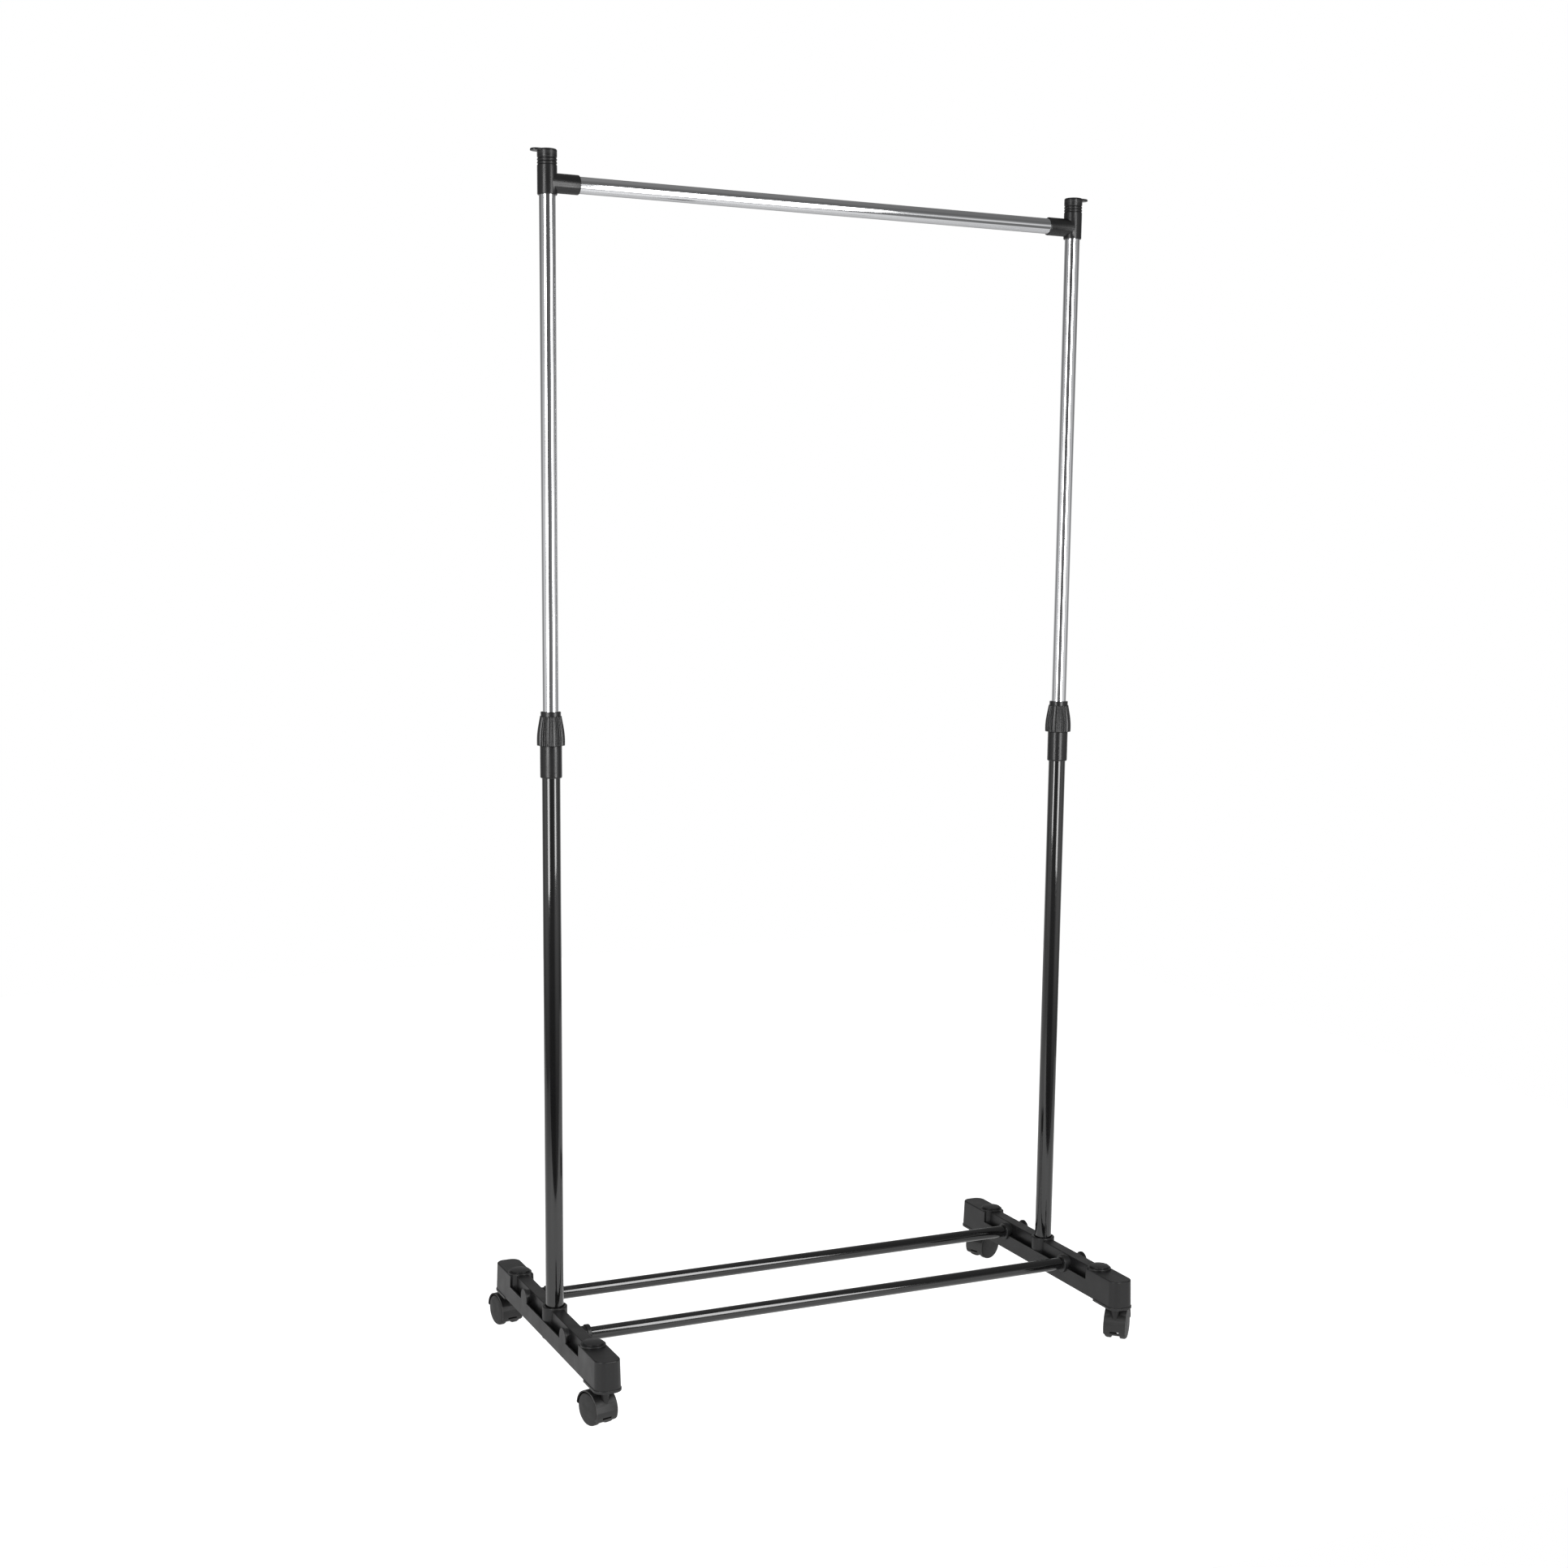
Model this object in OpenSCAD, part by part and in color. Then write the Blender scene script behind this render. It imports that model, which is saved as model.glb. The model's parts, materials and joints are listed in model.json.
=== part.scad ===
// Rolling clothes rack: two moulded feet on swivelling twin-wheel casters, two shoe rails,
// telescopic posts with twist locks, and a hanging rail held by two tee connectors.
// X runs along the rail, -Y is the front, +Z is up. The origin is on the floor, midway
// between the two posts.

/* [Frame] */
// Distance between the two posts, centre to centre
post_spacing = 700; // [560:5:900]
// Height of the hanging rail's axis above the floor, as drawn
rail_height = 1418; // [1180:1:1710]
// Height of the top of the fixed lower uprights above the floor
lower_tube_top = 775; // [640:1:930]
// How far the upper uprights reach down into the lower ones, as drawn
tube_overlap = 120; // [70:1:300]

/* [Tubes] */
// Outer diameter of the fixed lower uprights
lower_tube_d = 22; // [20.4:0.1:27]
// Wall of the lower uprights
lower_tube_wall = 1.0; // [0.8:0.1:1.2]
// Outer diameter of the sliding upper uprights
upper_tube_d = 19; // [15.5:0.1:19.2]
// Outer diameter of the hanging rail
rail_d = 19; // [15.5:0.1:23]
// Outer diameter of the two shoe rails
shoe_rail_d = 16; // [13:0.1:19.5]
// Wall of the upper uprights, the hanging rail and the shoe rails
thin_wall = 1.0; // [0.8:0.1:1.5]

/* [Feet] */
// Length of a foot, front to back
foot_length = 398; // [330:1:480]
// Width of a foot
foot_width = 33; // [32:0.5:42]
// Height of a foot's end blocks and spine above its underside
foot_height = 35.5; // [34:0.5:45]
// Height of the foot's full-width lower body
ledge_height = 20.5; // [18:0.5:22]
// Height of the troughs' floor beside the spine
trough_height = 8; // [6:0.5:12]
// Width of the raised spine
spine_width = 17; // [15:0.5:19]
// Distance between the two shoe rails, centre to centre
shoe_rail_spacing = 150; // [110:1:180]
// Distance between the two disc caps on a foot, centre to centre
cap_spacing = 280; // [270:1:300]
// Wall of the moulded foot
foot_wall = 2.5; // [2:0.1:3]

/* [Casters] */
// Diameter of the wheels
wheel_d = 40; // [33:0.5:50]
// Width over both wheels of a caster
caster_width = 29.6; // [28:0.1:32]
// Distance from the stem back to the axle
caster_trail = 16.5; // [15:0.1:18]
// Diameter of the caster stem
stem_d = 6; // [5:0.1:6.4]
// Direction of the front-left caster: from axle to stem, about +Z from +X
front_left_turn = 283.5; // [0:0.5:360]
// Direction of the rear-left caster
rear_left_turn = 279; // [0:0.5:360]
// Direction of the front-right caster
front_right_turn = 226.5; // [0:0.5:360]
// Direction of the rear-right caster
rear_right_turn = 201; // [0:0.5:360]

/* [Tees] */
// Wall of the tee connector around its tubes
tee_wall = 1.9; // [1.5:0.1:3.5]
// Wall of the tee's rail socket
socket_wall = 1.5; // [1.2:0.1:3.5]
// Reach of the tee's rail socket from the post axis
tee_reach = 37.5; // [34:0.5:60]
// How far the end cap's tongue stands out past the tee
tongue_reach = 8.5; // [0.5:0.5:12]

/* [Twist locks] */
// Length of the lock sleeve's plain lower part
sleeve_length = 38; // [30:0.5:50]
// Widest diameter of the lock nut
nut_d = 33.5; // [33:0.5:40]
// Height of the lock nut
nut_height = 39.8; // [38:0.1:44]
// Number of flutes around the lock nut
nut_flutes = 18; // [10:1:20]

/* [Hidden] */
$fn = 48;

black = [0.09, 0.09, 0.095];
powder_black = [0.06, 0.06, 0.065];
chrome = [0.8, 0.8, 0.82];
steel = [0.6, 0.6, 0.62];
past = 1;            // how far a cutter runs past the face it opens
join = 2;            // how far the shapes of one solid run into each other

// Clearances, all radial
fixed_gap = 0.05;    // a tube or pin held in a socket of its own body
turn_gap = 0.05;     // a pin that turns in its bore
slide_gap = 0.05;    // the upper upright's glide and collet
grip_gap = 0.02;     // the ring that grips the stem
thread_gap = 0.3;    // between the two threads of the twist lock
screw_gap = 0.3;     // round the upright's fixing screw
head_gap = 1;        // round that screw's head
nut_gap = 0.5;       // between the lock nut and the sleeve, the fingers and the upper upright

// Casters: heights are above the floor
wheel_r = wheel_d / 2;
hood_gap = 0.6;
hood_wall = 1.7;
hood_in_r = wheel_r + hood_gap;
hood_out_r = hood_in_r + hood_wall;
hood_inset = 0.6;    // how far the wheels' faces stand out past the hood
hood_half = caster_width / 2 - hood_inset;
hood_from = -31;     // lower front edge of the hood, degrees above the axle
hood_to = 180;       // rear edge of the hood
hood_slot = [12, 2.4];
hood_slot_angle = -19;
web_half = 2.5;
hub_gap = 0.5;
hub_r = 5.2;
boss_r = stem_d / 2 + 1.8;
boss_foot = 1.5;     // height of the stem boss's lower end above the axle
boss_tip_r = 2.5;    // the boss widens from its lower end to its top
boss_top_r = 6;
boss_gap = 1;        // between the stem boss and the wheels' treads
tread_inner_y = boss_r + boss_gap;
tread_wall = 3;
tread_r = wheel_r - tread_wall;
tread_edge = 0.8;    // chamfer of the tread's inner edge
disc_edge = 1.2;     // chamfer between the tread and the disc
disc_rim = 6;        // width of the disc's flatter rim
disc_wall = 2;
disc_dome = 0.7;
disc_crown = 0.2;    // how much the middle of the disc stands out past its rim
axle_r = 2.5;
axle_end_wall = 0.5; // left in the disc past the end of the axle
axle_end_gap = 0.1;
axle_half = caster_width / 2 - disc_wall - disc_dome - axle_end_wall - axle_end_gap;
collar_h = 1.2;
collar_gap = 0.3;
hood_clear = 8;      // from the top of the wheels to the foot
caster_height = wheel_d + hood_clear;
stem_in_hood = 22;
stem_in_foot = 28;
ring_h = 12;
ring_wall = 1.1;
ring_drop = 4;       // from the top of the stem down to its ring
ring_slit = 1.2;
stem_inset = 19;     // from the end of the foot to the stem
stem_y = foot_length / 2 - stem_inset;

// Feet
lip_h = 2.5;
lip_rise = 1;        // how far the lip runs up over the block's wall
lip_reach = 0.8;
lip_start = foot_length / 2 - 46;
foot_z = caster_height + lip_h;
foot_under = foot_z - 5; // where the cutters of the hollows start
foot_top = foot_z + foot_height;
ledge_z = foot_z + ledge_height;
block_start = cap_spacing / 2 - 8;
corner_r = 12;
shoe_rail_z = foot_z + ledge_height + 4;
trough_z = foot_z + trough_height;
shoe_socket_r = shoe_rail_d / 2 + 3.8;
shoe_arch = 3;       // thickness of the socket's arch in the foot's side walls
shoe_tube_r = shoe_rail_d / 2 + 2.4;
shoe_socket_wall = 3.5;
shoe_floor = 2;      // under the shoe rail's socket
shoe_collar = 2;
boss_above = 2.3;
cap_boss_r = 15;
cap_r = 13;
cap_plug_r = 8;
cap_plug_h = 10;
cap_h = 2.5;
cap_step = [0.8, 1.4]; // inset and height of the disc's step
cap_hollow_top = ledge_z + 3;
post_socket_r = lower_tube_d / 2 + 4.5;
post_socket_top = foot_top + 2.7;
post_floor_z = foot_z + 9.5;
stem_boss_r = 7.5;
stem_rib = 2.4;
stem_end_gap = 1;
bump_r = 16;
bump_h = 1.9;

// Upright fixing screw, from below
screw_r = 3;
screw_head_r = 5.6;
screw_head_h = 4;
screw_seat = 4.2;    // height of the screw head's seat above the foot's underside
screw_slot = [6, 1.2, 2];
plug_h = 20;
screw_length = 22;

// Twist lock
lower_in_r = lower_tube_d / 2 - lower_tube_wall;
upper_r = upper_tube_d / 2;
sleeve_wall = 2;
sleeve_r = lower_tube_d / 2 + sleeve_wall;
sleeve_edge = 1;     // chamfer of the sleeve's lower edge
sleeve_shoulder = 2.6;
sleeve_top = lower_tube_top + sleeve_shoulder;
sleeve_bottom = sleeve_top - sleeve_length;
neck_wall = 0.4;     // of the neck, over the lower upright
neck_r = lower_tube_d / 2 + neck_wall;
neck_h = 22;
finger_h = 13;
finger_tip_r = upper_r + 1;
thread_deep = 0.9;
thread_r = neck_r + thread_deep;
thread_start = 3;    // from the sleeve up to the first thread
thread_pitch = 4;
thread_h = 1.4;
threads = 4;
collet_slots = 4;
collet_slot = [2, 5]; // width of a slot, and how far it runs down past the fingers
nut_bottom = sleeve_top + nut_gap;
nut_top = nut_bottom + nut_height;
nut_rim_h = 5.3;
nut_rim_r = sleeve_r - 1;
nut_shoulder_r = nut_rim_r + 1.5;
nut_bore_r = thread_r + thread_gap;
nut_mouth_r = upper_r + nut_gap;
nut_belly_h = 8;
nut_edge = 0.4;      // chamfer of the nut's lower edge
nut_thread_start = thread_start - nut_gap - thread_gap - thread_h;
flute_r = 2.4;
flute_depth = 1.1;
nut_set = 12.5;      // how far both nuts are turned as shown, degrees

// Upper frame
tee_r = upper_r + tee_wall;
tee_below = 13.7;      // from the rail's axis down to the tee's lower end
tee_above = 33.4;      // from the rail's axis up to the end cap
tee_bottom = rail_height - tee_below;
tee_top = rail_height + tee_above;
upper_tube_above = 14;
upper_tube_top = rail_height + upper_tube_above;
upper_tube_bottom = lower_tube_top - tube_overlap;
rail_socket_r = rail_d / 2 + socket_wall;
rail_stop = 1.5;     // between the end of the rail and the upper upright
rail_end = post_spacing / 2 - upper_r - rail_stop;
socket_edge = 1;     // chamfer of the rail socket's mouth
tee_groove_h = 1.2;
tee_groove_deep = 0.8;
tee_groove_pitch = 3.45;
tee_groove_first = 6.8;
plate_h = 3;
plug_wall = 2;
plug_r = upper_r - 0.3;
plug_pocket = 14;
plug_deep = 10;
tongue_w = 14;
glide_flange_h = 4;
glide_plug_h = 14;
glide_wall = 2;

// A tube standing on its end, with an outer radius and a wall
module tube(r, wall, h) {
    difference() {
        cylinder(r = r, h = h);
        translate([0, 0, -past]) cylinder(r = r - wall, h = h + 2 * past);
    }
}

// The plan of a foot's rounded end, from y = start to the tip, grown by a margin
module end_plan(start, grow) {
    half = foot_width / 2 + grow;
    tip = foot_length / 2 + grow;
    r = corner_r + grow;
    translate([-half, start]) square([2 * half, tip - r - start]);
    translate([-half + r, start]) square([2 * (half - r), tip - start]);
    for (side = [-1, 1]) translate([side * (half - r), tip - r]) circle(r = r);
}

// The open trough between the foot's side wall and its spine, from one y to another
module trough(from, to) {
    translate([spine_width / 2 - join, from, trough_z])
        cube([foot_width / 2 - foot_wall - spine_width / 2 + join, to - from, ledge_height]);
}

// Everything of the foot that is solid before it is cored out
module foot_shell() {
    half = block_start + join;
    shoe_y = shoe_rail_spacing / 2;
    difference() {
        translate([-foot_width / 2, -half, foot_z]) cube([foot_width, 2 * half, ledge_height]);
        for (end = [0, 1]) mirror([0, end, 0]) for (side = [0, 1]) mirror([side, 0, 0]) {
            trough(0, shoe_y - shoe_socket_r);
            trough(shoe_y + shoe_socket_r, block_start);
        }
    }
    translate([-spine_width / 2, -half, foot_z]) cube([spine_width, 2 * half, foot_height]);
    for (end = [0, 1]) mirror([0, end, 0]) {
        translate([0, 0, foot_z]) linear_extrude(foot_height) end_plan(block_start, 0);
        translate([0, 0, caster_height]) linear_extrude(lip_h + lip_rise)
            end_plan(lip_start, lip_reach);
        translate([0, cap_spacing / 2, foot_z])
            cylinder(r = cap_boss_r, h = foot_height + boss_above);
        translate([-foot_width / 2, shoe_y, shoe_rail_z]) rotate([0, 90, 0]) {
            cylinder(r = shoe_socket_r, h = shoe_arch);
            cylinder(r = shoe_tube_r, h = foot_width);
            translate([0, 0, foot_width - shoe_arch])
                cylinder(r = shoe_socket_r, h = shoe_arch + shoe_collar);
        }
    }
    translate([0, 0, foot_z]) cylinder(r = post_socket_r, h = post_socket_top - foot_z);
    translate([0, 0, foot_z - bump_h]) cylinder(r = bump_r, h = bump_h + join);
}

// A hollow under the foot's body, between two cross walls, reaching up into the spine
module body_hollow(from, to) {
    translate([-foot_width / 2 + foot_wall, from, foot_under])
        cube([foot_width - 2 * foot_wall, to - from, trough_z - foot_wall - foot_under]);
    translate([-spine_width / 2 + foot_wall, from, foot_under])
        cube([spine_width - 2 * foot_wall, to - from, foot_top - foot_wall - foot_under]);
}

// The hollow in an end block, with the stem's socket left standing in it
module block_hollow() {
    difference() {
        translate([0, 0, caster_height - past])
            linear_extrude(foot_top - foot_wall - caster_height + past)
                end_plan(cap_spacing / 2 + cap_boss_r + join, -foot_wall);
        translate([0, stem_y, caster_height - 2 * past])
            cylinder(r = stem_boss_r, h = foot_top - caster_height);
        translate([-stem_rib / 2, stem_y, caster_height - 2 * past])
            cube([stem_rib, stem_inset, foot_top - caster_height]);
    }
}

module foot() {
    shoe_y = shoe_rail_spacing / 2;
    difference() {
        foot_shell();
        for (end = [0, 1]) mirror([0, end, 0]) {
            body_hollow(post_socket_r + foot_wall, shoe_y - shoe_socket_r - foot_wall);
            body_hollow(shoe_y + shoe_socket_r + foot_wall, cap_spacing / 2 - cap_boss_r);
            translate([-foot_width / 2 + foot_wall, shoe_y - shoe_socket_r + join, foot_under])
                cube([foot_width - 2 * foot_wall, 2 * (shoe_socket_r - join),
                    shoe_rail_z - shoe_socket_r - shoe_floor - foot_under]);
            translate([-foot_width / 2 + shoe_socket_wall, shoe_y, shoe_rail_z])
                rotate([0, 90, 0])
                    cylinder(r = shoe_rail_d / 2 + fixed_gap, h = foot_width + shoe_collar);
            translate([0, cap_spacing / 2, foot_under])
                cylinder(r = cap_boss_r - foot_wall, h = cap_hollow_top - foot_under);
            translate([0, cap_spacing / 2, foot_top + boss_above - cap_plug_h - past])
                cylinder(r = cap_plug_r + fixed_gap, h = cap_plug_h + 2 * past);
            block_hollow();
            translate([0, stem_y, caster_height - past])
                cylinder(r = stem_d / 2 + ring_wall + fixed_gap,
                    h = stem_in_foot + stem_end_gap + past);
        }
        translate([0, 0, post_floor_z])
            cylinder(r = lower_tube_d / 2 + fixed_gap, h = post_socket_top);
        translate([0, 0, foot_under]) cylinder(r = screw_r + screw_gap, h = foot_height);
        translate([0, 0, foot_under])
            cylinder(r = screw_head_r + head_gap, h = foot_z + screw_seat - foot_under);
    }
}

module left_foot() {
    color(black) translate([-post_spacing / 2, 0, 0]) foot();
}

module right_foot() {
    color(black) translate([post_spacing / 2, 0, 0]) mirror([1, 0, 0]) foot();
}

// The stepped disc that closes a socket on top of a foot
module foot_cap(side, end) {
    seat = foot_top + boss_above;
    color(black) translate([side * post_spacing / 2, end * cap_spacing / 2, seat]) {
        cylinder(r = cap_r, h = cap_step[1]);
        cylinder(r = cap_r - cap_step[0], h = cap_h);
        translate([0, 0, -cap_plug_h]) cylinder(r = cap_plug_r, h = cap_plug_h + past);
    }
}

module shoe_rail(end) {
    reach = post_spacing / 2 + foot_width / 2 - shoe_socket_wall;
    color(powder_black) translate([-reach, end * shoe_rail_spacing / 2, shoe_rail_z])
        rotate([0, 90, 0]) tube(shoe_rail_d / 2, thin_wall, 2 * reach);
}

module lower_upright(side) {
    color(powder_black) translate([side * post_spacing / 2, 0, post_floor_z])
        tube(lower_tube_d / 2, lower_tube_wall, lower_tube_top - post_floor_z);
}

// Moulded plug in the foot of the lower upright, which takes the fixing screw
module tube_plug(side) {
    color(black) translate([side * post_spacing / 2, 0, post_floor_z]) difference() {
        cylinder(r = lower_in_r - fixed_gap, h = plug_h);
        translate([0, 0, -past]) cylinder(r = screw_r + fixed_gap, h = plug_h + 2 * past);
    }
}

module upright_screw(side) {
    seat = foot_z + screw_seat;
    color(steel) translate([side * post_spacing / 2, 0, seat]) difference() {
        union() {
            cylinder(r = screw_r, h = screw_length);
            translate([0, 0, -screw_head_h]) cylinder(r = screw_head_r, h = screw_head_h);
        }
        for (turn = [0, 90]) rotate([0, 0, turn])
            translate([-screw_slot[0] / 2, -screw_slot[1] / 2, -screw_head_h - past])
                cube([screw_slot[0], screw_slot[1], screw_slot[2] + past]);
    }
}

// The collar clamped on the lower upright: a sleeve, a threaded neck and split fingers
module lock_sleeve(side) {
    color(black) translate([side * post_spacing / 2, 0, 0]) difference() {
        union() {
            translate([0, 0, sleeve_bottom])
                cylinder(r1 = sleeve_r - sleeve_edge, r2 = sleeve_r, h = sleeve_edge);
            translate([0, 0, sleeve_bottom + sleeve_edge])
                cylinder(r = sleeve_r, h = sleeve_length - sleeve_edge);
            translate([0, 0, sleeve_top - join]) cylinder(r = neck_r, h = neck_h + join);
            translate([0, 0, sleeve_top + neck_h])
                cylinder(r1 = neck_r, r2 = finger_tip_r, h = finger_h);
            for (i = [0 : threads - 1])
                translate([0, 0, sleeve_top + thread_start + i * thread_pitch])
                    cylinder(r = thread_r, h = thread_h);
        }
        translate([0, 0, sleeve_bottom - past])
            cylinder(r = lower_tube_d / 2 + fixed_gap, h = lower_tube_top - sleeve_bottom + past);
        translate([0, 0, sleeve_bottom])
            cylinder(r = upper_r + slide_gap, h = sleeve_length + neck_h + finger_h + past);
        for (i = [0 : collet_slots - 1]) rotate([0, 0, (i + 0.5) * 360 / collet_slots])
            translate([0, -collet_slot[0] / 2, sleeve_top + neck_h - collet_slot[1]])
                cube([sleeve_r, collet_slot[0], finger_h + collet_slot[1] + past]);
    }
}

// The fluted nut that squeezes the fingers onto the upper upright
module lock_nut(side) {
    belly = nut_d / 2;
    skirt_top = nut_height - nut_rim_h;
    rise = skirt_top - nut_belly_h;
    tilt = atan((belly - nut_shoulder_r) / rise);
    mid = nut_belly_h + rise / 2;
    mid_r = (belly + nut_shoulder_r) / 2;
    color(black) translate([side * post_spacing / 2, 0, nut_bottom]) difference() {
        union() {
            cylinder(r1 = belly - nut_edge, r2 = belly, h = nut_edge);
            translate([0, 0, nut_edge]) cylinder(r = belly, h = nut_belly_h - nut_edge);
            translate([0, 0, nut_belly_h])
                cylinder(r1 = belly, r2 = nut_shoulder_r, h = rise);
            cylinder(r = nut_rim_r, h = nut_height);
        }
        for (i = [0 : nut_flutes - 1]) rotate([0, 0, nut_set + (i + 0.5) * 360 / nut_flutes])
            translate([mid_r + flute_r - flute_depth, 0, mid]) rotate([0, -tilt, 0])
                translate([0, 0, -nut_height]) cylinder(r = flute_r, h = 2 * nut_height, $fn = 24);
        difference() {
            translate([0, 0, -past]) cylinder(r = nut_bore_r, h = neck_h + past);
            for (i = [1 : threads - 1])
                translate([0, 0, nut_thread_start + i * thread_pitch])
                    tube(nut_bore_r + past, nut_bore_r + past - neck_r - thread_gap, thread_h);
        }
        translate([0, 0, neck_h - past])
            cylinder(r1 = nut_bore_r, r2 = finger_tip_r + nut_gap, h = finger_h + 2 * past);
        cylinder(r = nut_mouth_r, h = nut_height + past);
    }
}

module upper_upright(side) {
    color(chrome) translate([side * post_spacing / 2, 0, upper_tube_bottom])
        tube(upper_r, thin_wall, upper_tube_top - upper_tube_bottom);
}

// The bush in the foot of the upper upright that guides it inside the lower one
module tube_glide(side) {
    color(black) translate([side * post_spacing / 2, 0, upper_tube_bottom]) difference() {
        union() {
            translate([0, 0, -glide_flange_h])
                cylinder(r = lower_in_r - slide_gap, h = glide_flange_h);
            cylinder(r = upper_r - thin_wall - fixed_gap, h = glide_plug_h);
        }
        translate([0, 0, -glide_flange_h - past])
            cylinder(r = upper_r - thin_wall - glide_wall,
                h = glide_flange_h + glide_plug_h + 2 * past);
    }
}

// The tee at the top of a post; side is -1 on the left, and its socket faces inwards
module tee(side) {
    color(black) translate([side * post_spacing / 2, 0, 0]) mirror([side > 0 ? 1 : 0, 0, 0])
        difference() {
            union() {
                translate([0, 0, tee_bottom]) cylinder(r = tee_r, h = tee_top - tee_bottom);
                translate([0, 0, rail_height]) rotate([0, 90, 0]) {
                    cylinder(r = rail_socket_r, h = tee_reach - socket_edge);
                    translate([0, 0, tee_reach - socket_edge])
                        cylinder(r1 = rail_socket_r, r2 = rail_socket_r - socket_edge,
                            h = socket_edge);
                }
            }
            translate([0, 0, tee_bottom - past])
                cylinder(r = upper_r + fixed_gap, h = upper_tube_top - tee_bottom + past);
            translate([post_spacing / 2 - rail_end, 0, rail_height]) rotate([0, 90, 0])
                cylinder(r = rail_d / 2 + fixed_gap, h = tee_reach);
            translate([0, 0, tee_top - plug_pocket])
                cylinder(r = plug_r + fixed_gap, h = plug_pocket + past);
            for (i = [0 : 2]) let (mid = tee_top - tee_groove_first - i * tee_groove_pitch)
                translate([0, 0, mid - tee_groove_h / 2])
                    tube(tee_r + past, tee_groove_deep + past, tee_groove_h);
        }
}

// The flat cap that closes a tee, with a rounded tongue standing out past the rack's end
module end_cap(side) {
    tip = tee_r + tongue_reach - tongue_w / 2;
    color(black) translate([side * post_spacing / 2, 0, tee_top]) {
        cylinder(r = tee_r, h = plate_h);
        translate([side * tip, 0, 0]) cylinder(r = tongue_w / 2, h = plate_h);
        translate([side * tip / 2 - tip / 2, -tongue_w / 2, 0]) cube([tip, tongue_w, plate_h]);
        translate([0, 0, -plug_deep]) tube(plug_r, plug_wall, plug_deep + past);
    }
}

module hanging_rail() {
    color(chrome) translate([-rail_end, 0, rail_height]) rotate([0, 90, 0])
        tube(rail_d / 2, thin_wall, 2 * rail_end);
}

// Places a caster's pieces: x points from the axle to the stem, y along the axle
module at_stem(side, end) {
    translate([side * post_spacing / 2, end * stem_y, 0]) children();
}

module at_axle(side, end, turn) {
    at_stem(side, end) rotate([0, 0, turn]) translate([-caster_trail, 0, wheel_r]) children();
}

module caster_stem(side, end) {
    color(steel) at_stem(side, end) {
        translate([0, 0, caster_height - stem_in_hood])
            cylinder(r = stem_d / 2, h = stem_in_hood + stem_in_foot);
        translate([0, 0, caster_height - collar_h]) cylinder(r = boss_r - 0.3, h = collar_h);
    }
}

// The split ring that holds the stem in its socket
module grip_ring(side, end) {
    color(steel) at_stem(side, end)
        translate([0, 0, caster_height + stem_in_foot - ring_h - ring_drop]) difference() {
            cylinder(r = stem_d / 2 + ring_wall, h = ring_h);
            translate([0, 0, -past]) cylinder(r = stem_d / 2 + grip_gap, h = ring_h + 2 * past);
            translate([0, -ring_slit / 2, -past]) cube([stem_d, ring_slit, ring_h + 2 * past]);
        }
}

// The sector between two angles about the axle, wide enough to cut the hood's drum
module hood_sector(from, to) {
    far = 3 * hood_out_r;
    rotate([90, 0, 0]) translate([0, 0, -caster_width]) linear_extrude(2 * caster_width)
        polygon([[0, 0], for (k = [0 : 3]) let (a = from + k * (to - from) / 3)
            [far * cos(a), far * sin(a)]]);
}

module axle_drum(r, half) {
    rotate([90, 0, 0]) translate([0, 0, -half]) cylinder(r = r, h = 2 * half);
}

module caster_hood(side, end, turn) {
    boss_h = caster_height - collar_h - collar_gap - wheel_r;
    color(black) at_axle(side, end, turn) difference() {
        union() {
            intersection() {
                difference() {
                    axle_drum(hood_out_r, hood_half);
                    axle_drum(hood_in_r, hood_half + past);
                }
                hood_sector(hood_from, hood_to);
            }
            intersection() {
                axle_drum(hood_in_r + hood_wall / 2, web_half);
                hood_sector(hood_from, hood_to);
            }
            axle_drum(hub_r, web_half);
            intersection() {
                translate([caster_trail, 0, boss_foot]) cylinder(r = boss_r, h = boss_h - boss_foot);
                axle_drum(hood_out_r, boss_r + past);
            }
            translate([caster_trail, 0, boss_foot])
                cylinder(r1 = boss_tip_r, r2 = boss_top_r, h = boss_h - boss_foot);
        }
        translate([caster_trail, 0, boss_h - stem_in_hood])
            cylinder(r = stem_d / 2 + turn_gap, h = stem_in_hood + past);
        axle_drum(axle_r + fixed_gap, web_half + past);
        rotate([0, -hood_slot_angle, 0])
            translate([hood_in_r - past, -hood_slot[0] / 2, -hood_slot[1] / 2])
                cube([hood_wall + 2 * past, hood_slot[0], hood_slot[1]]);
    }
}

module caster_axle(side, end, turn) {
    color(steel) at_axle(side, end, turn) axle_drum(axle_r, axle_half);
}

// One wheel, a cup open towards the hood's web; face is +1 or -1 along the axle
module caster_wheel(side, end, turn, face) {
    outer = caster_width / 2;
    inner = web_half + hub_gap;
    color(black) at_axle(side, end, turn) rotate([-90 * face, 0, 0]) rotate_extrude()
        polygon([[0, axle_half + axle_end_wall], [axle_r + turn_gap, axle_half + axle_end_wall],
            [axle_r + turn_gap, inner], [hub_r, inner],
            [hub_r, outer - disc_wall - disc_dome], [tread_r, outer - disc_wall - disc_dome],
            [tread_r, tread_inner_y], [wheel_r - tread_edge, tread_inner_y],
            [wheel_r, tread_inner_y + tread_edge], [wheel_r, outer - disc_dome - disc_edge],
            [wheel_r - disc_edge, outer - disc_dome], [wheel_r - disc_rim, outer - disc_crown],
            [0, outer]]);
}

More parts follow.
